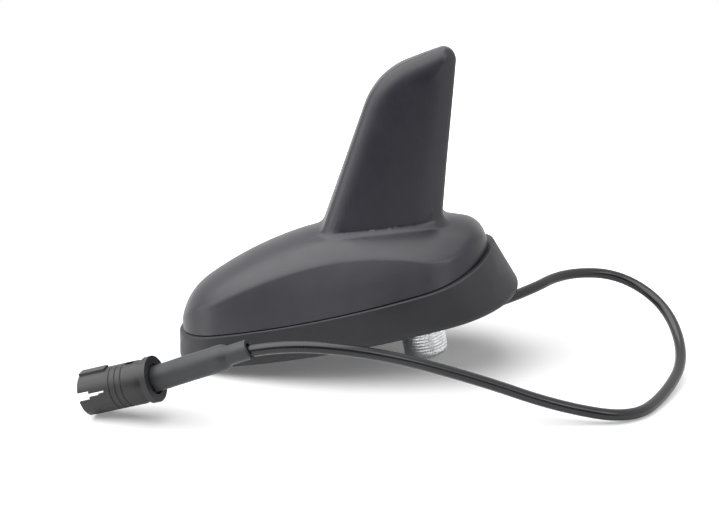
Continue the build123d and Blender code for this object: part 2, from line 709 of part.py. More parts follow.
def make_plug_insulator():
    step = PLUG_SEAT_FRONT - CONTACT_RING_LENGTH
    core = round_post(0, 0, PLUG_SEAT_R - SCREW_FIT, PLUG_SEAT_REAR, step)
    core += round_post(0, 0, PLUG_SEAT_R - CONTACT_RING_T - 2 * SCREW_FIT, step, PLUG_SEAT_FRONT)
    core -= round_post(0, 0, CENTRE_CONTACT_R + SCREW_FIT, PLUG_SEAT_REAR, PLUG_SEAT_FRONT)
    return plug_frame.location * core


def make_centre_contact():
    contact = round_post(0, 0, CENTRE_CONTACT_R, PLUG_SEAT_REAR, PLUG_SEAT_FRONT)
    contact -= round_post(0, 0, CENTRE_BORE_R, PLUG_SEAT_REAR + PLUG_SEAT_DEPTH / 2, PLUG_SEAT_FRONT)
    return plug_frame.location * contact


def make_shield_contact():
    """Ring let into the seat round the front of the insulator."""
    ring_r = PLUG_SEAT_R - SCREW_FIT
    back = PLUG_SEAT_FRONT - CONTACT_RING_LENGTH
    ring = round_post(0, 0, ring_r, back, PLUG_SEAT_FRONT)
    ring -= round_post(0, 0, ring_r - CONTACT_RING_T, back, PLUG_SEAT_FRONT)
    return plug_frame.location * ring


def make_crimp_ferrule():
    """Ferrule in line with the sleeve, its tilted front rim close to the insulator."""
    tilt = math.radians(shrink_axis.get_angle(plug_axis * -1))
    front = (FERRULE_R * math.sin(tilt) + SCREW_FIT - PLUG_SEAT_REAR) / math.cos(tilt)
    ferrule = round_post(0, 0, FERRULE_R, front, FERRULE_LENGTH)
    return shrink_frame.location * ferrule


def make_heat_shrink():
    front = -PLUG_RECESS_DEPTH / 2
    bore = FERRULE_R + SCREW_FIT
    sleeve = turned(
        [
            (bore, front),
            (SHRINK_R, front),
            (SHRINK_R, SHRINK_BODY),
            (SHRINK_THIN_R, SHRINK_BODY + SHRINK_STEP),
            (SHRINK_THIN_R, SHRINK_LENGTH),
            (SHRINK_THIN_BORE_R, SHRINK_LENGTH),
            (SHRINK_THIN_BORE_R, FERRULE_LENGTH),
            (bore, FERRULE_LENGTH),
        ]
    )
    return shrink_frame.location * sleeve


def make_coax_cable():
    """Cable along its route, each corner rounded as far as its two runs allow."""
    rear = Vector(*PLUG_REAR)
    route = [Vector(*point) for point in CABLE_ROUTE]
    route += [rear + shrink_axis * CABLE_LAST_BEND, rear + shrink_axis * FERRULE_LENGTH]
    radii = []
    for before, corner, after in zip(route, route[1:], route[2:]):
        turn = math.radians((corner - before).get_angle(after - corner))
        shorter = min((corner - before).length, (after - corner).length)
        radii.append(BEND_SHARE * shorter / math.tan(turn / 2))
    print("cable bend radii", [round(radius, 1) for radius in radii])
    path = FilletPolyline(*route, radius=radii)
    section = Plane(origin=path @ 0, z_dir=path % 0) * Circle(CABLE_R)
    return sweep(section, path=path)


NODES = {
    "fin_cover": make_fin_cover,
    "rubber_skirt": make_rubber_skirt,
    "base_plate": make_base_plate,
    "threaded_stud": make_threaded_stud,
    "circuit_board": make_circuit_board,
    "shield_can": make_shield_can,
    "radiator_board": make_radiator_board,
    "radiator_copper": make_radiator_copper,
    "board_holder": make_board_holder,
    "feed_spring": make_feed_spring,
    "board_screws": make_board_screws,
    "cover_screws": make_cover_screws,
    "cable_outlet": make_cable_outlet,
    "cable_terminal": make_cable_terminal,
    "coax_cable": make_coax_cable,
    "heat_shrink": make_heat_shrink,
    "crimp_ferrule": make_crimp_ferrule,
    "plug_sleeve": make_plug_sleeve,
    "plug_insulator": make_plug_insulator,
    "shield_contact": make_shield_contact,
    "centre_contact": make_centre_contact,
}

os.makedirs("parts", exist_ok=True)
for name, make in NODES.items():
    export_step(make(), f"parts/{name}.step")
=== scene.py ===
import math

import bmesh
import bpy
from mathutils import Matrix, Vector


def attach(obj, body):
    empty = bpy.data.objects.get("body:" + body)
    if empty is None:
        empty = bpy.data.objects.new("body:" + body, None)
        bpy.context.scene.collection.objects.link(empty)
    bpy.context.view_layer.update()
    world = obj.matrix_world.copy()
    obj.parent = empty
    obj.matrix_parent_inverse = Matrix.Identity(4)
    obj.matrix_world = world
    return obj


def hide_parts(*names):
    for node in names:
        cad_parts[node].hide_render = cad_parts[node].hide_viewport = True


# Lengths are in metres, in the aerial's own frame: the stud's axis at the roof plane, +X to the tail
MM = 0.001

# How the aerial lies on the table: on the nose of its skirt and the end of its stud
TABLE_TILT = math.radians(12.5)
TABLE_DROP = 11.4 * MM
TABLE_MIDDLE_X = -22 * MM
TABLE_SIZE = 1.6
TABLE_WHITE = 0.90
TABLE_GLOW_NEAR = 0.12
TABLE_GLOW_FAR = 1.0
TABLE_GLOW_FROM = 0.07
TABLE_GLOW_TO = 0.20

# Studio light: name, place, aim, width and height, watts
WORLD_FILL = 0.35
SOFTBOXES = [
    ("ceiling_softbox", (-0.18, -0.12, 0.80), (-0.18, -0.12, 0), (1.15, 1.3), 11.5),
    ("left_softbox", (-0.75, -0.15, 0.40), (0, 0, 0.03), (0.4, 0.6), 1.3),
    ("right_softbox", (0.55, -0.60, 0.50), (0, 0, 0.03), (0.3, 0.4), 1.1),
]
# Dark card behind the camera, for the contrast of the near sides
FLAG_Y = -1.1
FLAG_HALF_WIDTH = 1.0
FLAG_LOW = -0.2
FLAG_HIGH = 0.8
FLAG_GREY = 0.02

# Camera of the photograph
CAMERA_PLACE = Vector((13.487, -424.996, 144.790)) * MM
CAMERA_RISE = math.radians(17.0)
CAMERA_FOCAL_PIXELS = 1428.57
PHOTO_WIDTH = 719
SENSOR_WIDTH = 36.0

# Edges of the moulded and turned pieces that turn more than this stay crisp
CREASE_ANGLE = math.radians(28)
MERGE_DISTANCE = 0.002 * MM

# Finishes: the middle range of a noise pattern that is spread out, and the scales of the patterns
CLOUD_LOW = 0.3
CLOUD_HIGH = 0.7
MOULDING_CLOUDS = 55
MOULDING_GLOSS = 210
METAL_CLOUDS = 400
METAL_GLOSS = 900
METAL_MARKS = 2500
METAL_MARK_DEPTH = 0.01 * MM
ZINC_CLOUDS = 300
ZINC_GLOSS = 700
ZINC_GRAIN = 1800
ZINC_GRAIN_DEPTH = 0.03 * MM
# Dark specks on the stud's thread, painted shade that stands in for the thread's grooves: their scale,
# their range of the pattern and their fade below the thread's top
ZINC_THREAD_SHADE_SCALE = 1900
ZINC_THREAD_SHADE_LOW = 0.58
ZINC_THREAD_SHADE_HIGH = 0.68
ZINC_THREAD_SHADE_FADE = 2 * MM
# Places of the colour sockets on a Mix node
MIX_FIRST = 6
MIX_SECOND = 7
MIX_RESULT = 2

# Coaxial lead, its route repeated from the solid, in millimetres
CABLE_R = 1.65
CABLE_EXIT = (21.5, -6.3, -1.8)
CABLE_ROUTE = [
    CABLE_EXIT,
    (34.3, -1.6, -1.8),
    (48.0, 14.2, -3.3),
    (66.0, 18.6, -9.0),
    (77.8, 7.5, -19.2),
    (77.4, -14.5, -28.7),
    (66.5, -37.0, -29.4),
    (54.0, -54.5, -26.8),
    (34.0, -53.3, -19.0),
    (13.0, -55.5, -4.7),
    (-12.0, -60.5, 10.7),
]
PLUG_REAR = Vector((-74.1, -51.9, 13.0))
SHRINK_HEADING = Vector((29.1, -8.1, 5.7)).normalized()
CABLE_LAST_BEND = 36.0
FERRULE_LENGTH = 20.0
CABLE_STEPS = 16
CABLE_BEVEL_STEPS = 6

# Shrink sleeve over the ferrule and the end of the lead, in millimetres
SHRINK_START = -0.5
SHRINK_LENGTH = 30.6
SHRINK_R = 3.7
SHRINK_BORE_R = 2.9
SHRINK_THIN_R = 2.8
SHRINK_THIN_BORE_R = 2.2
SHRINK_MOUTH_GRIP = 0.45
SHRINK_MOUTH_SHARE = 0.08
SHRINK_STEP_AT = 22.0
SHRINK_STEP = 2.8
SHRINK_BORE_STEP_AT = FERRULE_LENGTH + 0.3
SHRINK_BORE_STEP = 1.0
SHRINK_RINGS = 84
SHRINK_SIDES = 96
# Its uneven skin: a swell before the step, a waist after it, an oval and a ripple that turn, a nipped start
SHRINK_SWELL = 0.05
SHRINK_SWELL_AT = SHRINK_STEP_AT - 1.2
SHRINK_SWELL_WIDTH = 1.0
SHRINK_WAIST = 0.16
SHRINK_WAIST_AT = SHRINK_STEP_AT + 2.1
SHRINK_WAIST_WIDTH = 0.5
SHRINK_OVAL = 0.04
SHRINK_OVAL_TWIST = 0.5
SHRINK_RIPPLE = 0.02
SHRINK_RIPPLE_TWIST = 0.35
SHRINK_NIP = 0.15
SHRINK_NIP_WIDTH = 0.4
# Its cut end: how far askew, which way round, and a nick
SHRINK_SKEW = 0.3
SHRINK_SKEW_TURN = 2.4
SHRINK_NICK = 0.5
SHRINK_NICK_TURN = math.radians(300)
SHRINK_NICK_WIDTH = 0.3

# Blade of the cover, its sizes repeated from the solid, in millimetres
BLADE_ROOT_Z = 30.0
BLADE_TIP_Z = 79.5
BLADE_LEAD_X = -24.7
BLADE_LEAD_LEAN = math.radians(31.4)
BLADE_TRAIL_X = 14.0
BLADE_TRAIL_LEAN = math.radians(16.85)
BLADE_CREST_SLOPE = math.radians(8.8)
BLADE_FRONT_R = 22.5
BLADE_TIP_R = 3.7
BLADE_ROOT_HALF = 11.4
BLADE_TOP_HALF = 5.0
BLADE_FLANK_R = 60.0
# Softer rounding of its rim: the solid's own round, how far in the new one reaches, the cells of the flank,
# how near a point of the skin lies to the form, and how the rounding fades towards the root
BLADE_EDGE_R = 3.4
BLADE_FRONT_ROUNDING = 7.0
BLADE_TRAIL_ROUNDING = 9.0
BLADE_ROUNDING_CHANGE = 5.0
BLADE_CELL = 0.7
BLADE_CUT_TOLERANCE = MERGE_DISTANCE / 10
BLADE_SKIN = 1.3
BLADE_SLACK = 0.1
BLADE_FADE_FROM = 31.4
BLADE_FADE_SLOPE = -0.1
BLADE_FADE = 3.2

# Roof stud, with a fine thread on the middle of its shank
STUD_SIZES = {
    "Radius": 7.0 * MM,
    "Drop": 15.2 * MM,
    "Chamfer": 1.2 * MM,
    "Thread pitch": 1.0 * MM,
    "Thread depth": 0.07 * MM,
    "Thread top": -3.6 * MM,
    "Thread end": -13.4 * MM,
    "Collar radius": 7.8 * MM,
    "Collar height": 5.0 * MM,
    "Head radius": 19.0 / math.sqrt(3) * MM,
    "Head height": 3.0 * MM,
}
STUD_SIDES = 96
STUD_ROWS = 152

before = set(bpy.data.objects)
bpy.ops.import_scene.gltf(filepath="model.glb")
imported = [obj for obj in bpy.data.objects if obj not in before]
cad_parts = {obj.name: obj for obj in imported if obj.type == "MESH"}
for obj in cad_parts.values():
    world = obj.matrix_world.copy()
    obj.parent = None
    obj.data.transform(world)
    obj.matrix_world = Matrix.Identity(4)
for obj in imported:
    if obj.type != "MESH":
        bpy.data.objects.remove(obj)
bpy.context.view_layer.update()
scene = bpy.context.scene
scene.view_settings.view_transform = "Standard"


def new_material(name):
    """An empty principled finish, its nodes and a source of object coordinates."""
    material = bpy.data.materials.new(name)
    material.use_nodes = True
    tree = material.node_tree
    place = tree.nodes.new("ShaderNodeTexCoord")
    return material, tree, tree.nodes["Principled BSDF"], place.outputs["Object"]


def noise(tree, place, scale, detail=4):
    """A noise pattern of that scale."""
    texture = tree.nodes.new("ShaderNodeTexNoise")
    texture.inputs["Scale"].default_value = scale
    texture.inputs["Detail"].default_value = detail
    tree.links.new(place, texture.inputs["Vector"])
    return texture.outputs["Fac"]


def spread(tree, value, low, high, to_low, to_high):
    """Maps a range of a pattern to another range, and holds it there."""
    ramp = tree.nodes.new("ShaderNodeMapRange")
    ramp.inputs["From Min"].default_value = low
    ramp.inputs["From Max"].default_value = high
    ramp.inputs["To Min"].default_value = to_low
    ramp.inputs["To Max"].default_value = to_high
    tree.links.new(value, ramp.inputs["Value"])
    return ramp.outputs["Result"]


def clouds(tree, place, scale, low=0, high=1):
    """A cloudy pattern of that scale, between two values."""
    return spread(tree, noise(tree, place, scale), CLOUD_LOW, CLOUD_HIGH, low, high)


def blend_colours(tree, share, first, second):
    """Mixes two colours, each given as numbers or as another node's output."""
    mix = tree.nodes.new("ShaderNodeMix")
    mix.data_type = "RGBA"
    tree.links.new(share, mix.inputs["Factor"])
    for socket, colour in ((mix.inputs[MIX_FIRST], first), (mix.inputs[MIX_SECOND], second)):
        if isinstance(colour, tuple):
            socket.default_value = (*colour, 1)
        else:
            tree.links.new(colour, socket)
    return mix.outputs[MIX_RESULT]


def add_bump(tree, shader, height, depth):
    """Roughens a finish by a pattern, up to a depth."""
    bump = tree.nodes.new("ShaderNodeBump")
    bump.inputs["Strength"].default_value = 1
    bump.inputs["Distance"].default_value = depth
    tree.links.new(height, bump.inputs["Height"])
    tree.links.new(bump.outputs["Normal"], shader.inputs["Normal"])


def moulding(name, dark, light, gloss, grain):
    """Moulded plastic or rubber: cloudy colour, uneven gloss and a fine grain."""
    material, tree, shader, place = new_material(name)
    colour = blend_colours(tree, clouds(tree, place, MOULDING_CLOUDS), dark, light)
    tree.links.new(colour, shader.inputs["Base Color"])
    tree.links.new(clouds(tree, place, MOULDING_GLOSS, *gloss), shader.inputs["Roughness"])
    grain_scale, grain_depth = grain
    add_bump(tree, shader, noise(tree, place, grain_scale, 2), grain_depth)
    return material


def plating(name, dark, light, gloss):
    """Plated or bare metal, with cloudy colour and fine drawn marks."""
    material, tree, shader, place = new_material(name)
    shader.inputs["Metallic"].default_value = 1
    colour = blend_colours(tree, clouds(tree, place, METAL_CLOUDS), dark, light)
    tree.links.new(colour, shader.inputs["Base Color"])
    tree.links.new(clouds(tree, place, METAL_GLOSS, *gloss), shader.inputs["Roughness"])
    add_bump(tree, shader, noise(tree, place, METAL_MARKS, 2), METAL_MARK_DEPTH)
    return material


def zinc_and_thread_shade(name, dull, bright, thread_shade, gloss):
    """Pale zinc, with dark specks along the threaded part of the stud that are painted shade standing in
    for the thread's grooves.
    """
    material, tree, shader, place = new_material(name)
    shader.inputs["Metallic"].default_value = 1
    pale = blend_colours(tree, clouds(tree, place, ZINC_CLOUDS), dull, bright)
    axes = tree.nodes.new("ShaderNodeSeparateXYZ")
    tree.links.new(place, axes.inputs["Vector"])
    thread_top = STUD_SIZES["Thread top"]
    band = spread(tree, axes.outputs["Z"], thread_top, thread_top - ZINC_THREAD_SHADE_FADE, 0, 1)
    # Painted shade: dark spots on the threaded band that stand in for the thread's grooves
    thread_shade_spots = spread(tree, noise(tree, place, ZINC_THREAD_SHADE_SCALE, 3), ZINC_THREAD_SHADE_LOW, ZINC_THREAD_SHADE_HIGH, 0, 1)
    both = tree.nodes.new("ShaderNodeMath")
    both.operation = "MULTIPLY"
    tree.links.new(band, both.inputs[0])
    tree.links.new(thread_shade_spots, both.inputs[1])
    colour = blend_colours(tree, both.outputs["Value"], pale, thread_shade)
    tree.links.new(colour, shader.inputs["Base Color"])
    tree.links.new(clouds(tree, place, ZINC_GLOSS, *gloss), shader.inputs["Roughness"])
    add_bump(tree, shader, noise(tree, place, ZINC_GRAIN, 3), ZINC_GRAIN_DEPTH)
    return material


cover_plastic = moulding(
    "charcoal_moulding", (0.020, 0.020, 0.027), (0.025, 0.025, 0.033), (0.30, 0.37), (2600, 0.02 * MM)
)
skirt_rubber = moulding(
    "charcoal_rubber", (0.015, 0.015, 0.018), (0.020, 0.020, 0.024), (0.46, 0.56), (2200, 0.03 * MM)
)
plate_plastic = moulding(
    "black_moulding", (0.010, 0.010, 0.011), (0.016, 0.016, 0.017), (0.45, 0.6), (1800, 0.03 * MM)
)
sheath = moulding(
    "cable_sheath", (0.012, 0.012, 0.014), (0.018, 0.018, 0.020), (0.18, 0.24), (900, 0.002 * MM)
)
shrink_sleeve = moulding(
    "shrink_sleeve", (0.028, 0.029, 0.032), (0.036, 0.037, 0.040), (0.40, 0.52), (900, 0.015 * MM)
)
plug_plastic = moulding(
    "plug_moulding", (0.020, 0.020, 0.021), (0.026, 0.026, 0.028), (0.36, 0.46), (2200, 0.02 * MM)
)
board_green = moulding(
    "board_lacquer", (0.016, 0.11, 0.05), (0.022, 0.14, 0.066), (0.3, 0.42), (1600, 0.01 * MM)
)
holder_plastic = moulding(
    "natural_moulding", (0.64, 0.64, 0.60), (0.70, 0.70, 0.66), (0.42, 0.54), (1800, 0.02 * MM)
)
insulator_white = moulding(
    "insulator", (0.68, 0.68, 0.65), (0.75, 0.75, 0.72), (0.34, 0.46), (1800, 0.02 * MM)
)
# Pale zinc, and a darker grey painted on the threaded band as the shade of its grooves
zinc = zinc_and_thread_shade(
    "zinc_and_thread_shade", (0.86, 0.87, 0.88), (0.95, 0.96, 0.97), (0.45, 0.47, 0.49), (0.18, 0.34)
)
tinplate = plating("tinplate", (0.64, 0.65, 0.66), (0.74, 0.75, 0.76), (0.28, 0.42))
brass = plating("brass_contact", (0.68, 0.50, 0.23), (0.78, 0.60, 0.30), (0.24, 0.38))
copper = plating("copper_track", (0.70, 0.38, 0.23), (0.80, 0.46, 0.30), (0.28, 0.42))

NODE_FINISH = {
    "fin_cover": (cover_plastic, "cover"),
    "rubber_skirt": (skirt_rubber, "skirt"),
    "base_plate": (plate_plastic, "plate"),
    "circuit_board": (board_green, "board"),
    "shield_can": (tinplate, "tinplate"),
    "radiator_board": (board_green, "board"),
    "radiator_copper": (copper, "copper"),
    "board_holder": (holder_plastic, "holder"),
    "feed_spring": (brass, "brass"),
    "board_screws": (tinplate, "tinplate"),
    "cover_screws": (tinplate, "tinplate"),
    "cable_outlet": (skirt_rubber, "skirt"),
    "cable_terminal": (brass, "brass"),
    "crimp_ferrule": (tinplate, "tinplate"),
    "plug_sleeve": (plug_plastic, "plug"),
    "plug_insulator": (insulator_white, "insulator"),
    "shield_contact": (brass, "brass"),
    "centre_contact": (brass, "brass"),
}


def link(obj):
    scene.collection.objects.link(obj)
    return obj


def dress(obj, material, slot, *nodes):
    """Gives a piece its finish and its body, and hides the solids that it stands for."""
    obj.data.materials.clear()
    obj.data.materials.append(material)
    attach(obj, "root")
    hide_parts(*nodes)
    return obj


def smooth_piece(node):
    """Merged copy of a solid's mesh, smooth but for its crisp edges."""
    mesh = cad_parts[node].data.copy()
    mesh.name = node + "_skin"
    merged = bmesh.new()
    merged.from_mesh(mesh)
    bmesh.ops.remove_doubles(merged, verts=merged.verts, dist=MERGE_DISTANCE)
    bmesh.ops.dissolve_degenerate(merged, edges=merged.edges, dist=MERGE_DISTANCE)
    if node == "fin_cover":
        soften_blade(merged)
    merged.to_mesh(mesh)
    merged.free()
    if "custom_normal" in mesh.attributes:
        mesh.attributes.remove(mesh.attributes["custom_normal"])
    mesh.shade_smooth()
    mesh.set_sharp_from_angle(angle=CREASE_ANGLE)
    return link(bpy.data.objects.new(node + "_skin", mesh))


def rise(value, start, end):
    """Goes smoothly from 0 at the start to 1 at the end."""
    share = min(max((value - start) / (end - start), 0), 1)
    return share * share * (3 - 2 * share)


def hump(value, middle, width):
    """A smooth bump of height 1 round its middle."""
    return math.exp(-(((value - middle) / width) ** 2))


def blade_half(x, z):
    """Half the blade's thickness at a place of its side view, out to the leaning round of its flank."""
    height = BLADE_TIP_Z - BLADE_ROOT_Z
    lean = (math.tan(BLADE_LEAD_LEAN) + math.tan(BLADE_TRAIL_LEAN)) / 2
    axis = Vector((height * lean, BLADE_TOP_HALF - BLADE_ROOT_HALF, height)).normalized()
    middle_y = BLADE_ROOT_HALF - BLADE_FLANK_R
    across = x - (BLADE_LEAD_X + BLADE_TRAIL_X) / 2
    up = z - BLADE_ROOT_Z
    along = across * axis.x + up * axis.z
    square = 1 - axis.y**2
    linear = along * axis.y
    rest = across**2 + up**2 - along**2 - BLADE_FLANK_R**2
    return middle_y + (linear + math.sqrt(linear**2 - square * rest)) / square


def blade_sides():
    """Straight sides of the blade's outline, each a point and the way inwards: lead, crest and trail."""
    tip_x = BLADE_TRAIL_X + (BLADE_TIP_Z - BLADE_ROOT_Z) * math.tan(BLADE_TRAIL_LEAN)
    past_lead = Vector((math.cos(BLADE_LEAD_LEAN), -math.sin(BLADE_LEAD_LEAN)))
    past_crest = Vector((math.sin(BLADE_CREST_SLOPE), -math.cos(BLADE_CREST_SLOPE)))
    past_trail = Vector((-math.cos(BLADE_TRAIL_LEAN), math.sin(BLADE_TRAIL_LEAN)))
    return (
        (Vector((BLADE_LEAD_X, BLADE_ROOT_Z)), past_lead),
        (Vector((tip_x, BLADE_TIP_Z)), past_crest),
        (Vector((BLADE_TRAIL_X, BLADE_ROOT_Z)), past_trail),
    )


def blade_corners(sides):
    """Rounded corners of the outline, each its middle, its radius and the inward ways of its two sides."""
    corners = []
    for (start, first), (end, second), radius in (
        (sides[0], sides[1], BLADE_FRONT_R),
        (sides[1], sides[2], BLADE_TIP_R),
    ):
        reach = Vector((first @ start + radius, second @ end + radius))
        middle = Matrix((first, second)).inverted() @ reach
        corners.append((middle, radius, first, second))
    return corners


BLADE_SIDES = blade_sides()
BLADE_CORNERS = blade_corners(BLADE_SIDES)


def blade_depth(place):
    """How far a place of the side view lies inside the blade's outline, and the way inwards there."""
    depths = [(inward @ (place - start), inward) for start, inward in BLADE_SIDES]
    for middle, radius, first, second in BLADE_CORNERS:
        out = place - middle
        turn = first.cross(second)
        if -out.cross(second) / turn >= 0 and out.cross(first) / turn >= 0:
            depths.append((radius - out.length, -out.normalized()))
    return min(depths, key=lambda side: side[0])


def blade_rounding(place):
    """How far in the rounding reaches, further along the trailing side than elsewhere."""
    lead, crest, trail = (inward @ (place - start) for start, inward in BLADE_SIDES)
    share = rise(min(lead, crest) - trail, -BLADE_ROUNDING_CHANGE, BLADE_ROUNDING_CHANGE)
    return BLADE_FRONT_ROUNDING + (BLADE_TRAIL_ROUNDING - BLADE_FRONT_ROUNDING) * share


def blade_spare(place):
    """How far a point lies inside the flank of the blade."""
    return blade_half(place.x, place.z) - abs(place.y)


def near_blade(place):
    """Whether a point is on the outside of the blade or of the blend at its root."""
    if place.z < BLADE_ROOT_Z - BLADE_FADE:
        return False
    depth = blade_depth(Vector((place.x, place.z)))[0]
    return -BLADE_EDGE_R < min(depth, blade_spare(place)) < BLADE_SKIN


def on_flank(place):
    """Whether a point is on the bowed flank of the blade, clear of its rounded rim."""
    if place.z < BLADE_ROOT_Z - BLADE_FADE or abs(blade_spare(place)) > BLADE_SLACK:
        return False
    depth = blade_depth(Vector((place.x, place.z)))[0]
    return depth > BLADE_EDGE_R - BLADE_SKIN


def soft_place(place):
    """Where a point of the blade's skin goes when its rim becomes part of an ellipse."""
    side = Vector((place.x, place.z))
    half = blade_half(*side)
    depth, inward = blade_depth(side)
    spare = half - abs(place.y)
    if abs(spare) < BLADE_SLACK:
        place = Vector((place.x, math.copysign(half, place.y), place.z))
        spare = 0
    over = BLADE_EDGE_R - max(spare, 0)
    rounding = blade_rounding(side)
    reach = rounding - max(depth, 0)
    if over <= 0 or reach <= 0:
        return place
    scale = 1 / math.hypot(reach / rounding, over / BLADE_EDGE_R)
    moved = side + inward * (1 - scale) * reach
    thinner = blade_half(*moved) - half - (1 - scale) * over
    start = BLADE_FADE_FROM + BLADE_FADE_SLOPE * place.x
    share = rise(place.z, start - BLADE_FADE, start)
    outward = math.copysign(1, place.y)
    return place + share * Vector((moved.x - side.x, outward * thinner, moved.y - side.y))


def soften_blade(cover):
    """Works the flanks of the blade into small cells and eases its rim, which the solid has tighter."""
    flank = {vert for vert in cover.verts if on_flank(vert.co / MM)}
    faces = [face for face in cover.faces if flank.issuperset(face.verts)]
    cells = list(dict.fromkeys(part for face in faces for part in (*face.verts, *face.edges))) + faces
    for axis in (Vector((1, 0, 0)), Vector((0, 0, 1))):
        spans = [axis @ part.co / MM for part in cells if isinstance(part, bmesh.types.BMVert)]
        for step in range(math.ceil(min(spans) / BLADE_CELL), math.ceil(max(spans) / BLADE_CELL)):
            cut = axis * step * BLADE_CELL * MM
            cells = bmesh.ops.bisect_plane(
                cover, geom=cells, dist=BLADE_CUT_TOLERANCE, plane_co=cut, plane_no=axis
            )["geom"]
    for vert in cover.verts:
        if near_blade(vert.co / MM):
            vert.co = soft_place(vert.co / MM) * MM
    bmesh.ops.triangulate(cover, faces=[face for face in cover.faces if len(face.verts) > 4])


for node, (material, slot) in NODE_FINISH.items():
    dress(smooth_piece(node), material, slot, node)


def shrink_skin(along, turn):
    """Outer radius of the shrink sleeve, tight on the ferrule's end and a little uneven past it."""
    step = rise(along, SHRINK_STEP_AT, SHRINK_STEP_AT + SHRINK_STEP)
    radius = SHRINK_R + (SHRINK_THIN_R - SHRINK_R) * step
    radius += SHRINK_SWELL * hump(along, SHRINK_SWELL_AT, SHRINK_SWELL_WIDTH)
    radius -= SHRINK_WAIST * hump(along, SHRINK_WAIST_AT, SHRINK_WAIST_WIDTH)
    radius += SHRINK_OVAL * step * math.sin(2 * turn + SHRINK_OVAL_TWIST * along)
    radius += SHRINK_RIPPLE * math.sin(3 * turn - SHRINK_RIPPLE_TWIST * along)
    return radius - SHRINK_NIP * hump(along, SHRINK_START, SHRINK_NIP_WIDTH)


def shrink_cut(turn):
    """Where the sleeve ends, cut a little askew, with a nick on the near side."""
    nick = SHRINK_NICK * hump(turn, SHRINK_NICK_TURN, SHRINK_NICK_WIDTH)
    return SHRINK_LENGTH + SHRINK_SKEW * math.sin(turn + SHRINK_SKEW_TURN) - nick


def shrink_mesh():
    """Sleeve as one closed wall: outside from the plug to the cut end, then back inside."""
    near = SHRINK_HEADING.cross(Vector((0, 0, 1))).normalized()
    up = near.cross(SHRINK_HEADING)
    sleeve = bmesh.new()
    rings = []
    for row in range(2 * SHRINK_RINGS):
        inside = row >= SHRINK_RINGS
        share = (row if not inside else 2 * SHRINK_RINGS - 1 - row) / (SHRINK_RINGS - 1)
        ring = []
        for side in range(SHRINK_SIDES):
            turn = 2 * math.pi * side / SHRINK_SIDES
            along = SHRINK_START + (shrink_cut(turn) - SHRINK_START) * share
            radius = shrink_skin(along, turn)
            if inside:
                step = rise(along, SHRINK_BORE_STEP_AT, SHRINK_BORE_STEP_AT + SHRINK_BORE_STEP)
                radius = SHRINK_BORE_R + (SHRINK_THIN_BORE_R - SHRINK_BORE_R) * step
                radius -= SHRINK_MOUTH_GRIP * rise(share, 1 - SHRINK_MOUTH_SHARE, 1)
            out = near * math.cos(turn) + up * math.sin(turn)
            ring.append(sleeve.verts.new((PLUG_REAR + SHRINK_HEADING * along + out * radius) * MM))
        rings.append(ring)
    for ring, following in zip(rings, rings[1:] + rings[:1]):
        for side in range(SHRINK_SIDES):
            beside = (side + 1) % SHRINK_SIDES
            sleeve.faces.new((ring[side], ring[beside], following[beside], following[side]))
    bmesh.ops.recalc_face_normals(sleeve, faces=sleeve.faces)
    mesh = bpy.data.meshes.new("shrink_sleeve")
    sleeve.to_mesh(mesh)
    sleeve.free()
    mesh.shade_smooth()
    mesh.set_sharp_from_angle(angle=CREASE_ANGLE)
    return link(bpy.data.objects.new("shrink_sleeve", mesh))


dress(shrink_mesh(), shrink_sleeve, "shrink", "heat_shrink")


class NodeTree:
    """Short calls for the geometry nodes of one piece."""

    def __init__(self, name, sizes):
        self.tree = bpy.data.node_groups.new(name, "GeometryNodeTree")
        self.tree.interface.new_socket("Geometry", in_out="OUTPUT", socket_type="NodeSocketGeometry")
        self.sockets = {}
        for size in sizes:
            self.sockets[size] = self.tree.interface.new_socket(
                size, in_out="INPUT", socket_type="NodeSocketFloat"
            )
        self.sizes = self.tree.nodes.new("NodeGroupInput").outputs
        self.end = self.tree.nodes.new("NodeGroupOutput").inputs["Geometry"]

    def put(self, value, socket):
        if isinstance(value, (int, float)):
            socket.default_value = value
        else:
            self.tree.links.new(value, socket)

    def node(self, kind, **inputs):
        node = self.tree.nodes.new(kind)
        for name, value in inputs.items():
            self.put(value, node.inputs[name.replace("_", " ")])
        return node

    def math(self, operation, *values):
        node = self.tree.nodes.new("ShaderNodeMath")
        node.operation = operation
        for value, socket in zip(values, node.inputs):
            self.put(value, socket)
        return node.outputs["Value"]

    def join(self, *shapes):
        node = self.tree.nodes.new("GeometryNodeJoinGeometry")
        for shape in reversed(shapes):
            self.tree.links.new(shape, node.inputs["Geometry"])
        return node.outputs["Geometry"]

    def finish(self, shape, material):
        real = self.tree.nodes.new("GeometryNodeRealizeInstances")
        paint = self.tree.nodes.new("GeometryNodeSetMaterial")
        paint.inputs["Material"].default_value = material
        self.tree.links.new(shape, real.inputs["Geometry"])
        self.tree.links.new(real.outputs["Geometry"], paint.inputs["Geometry"])
        self.tree.links.new(paint.outputs["Geometry"], self.end)


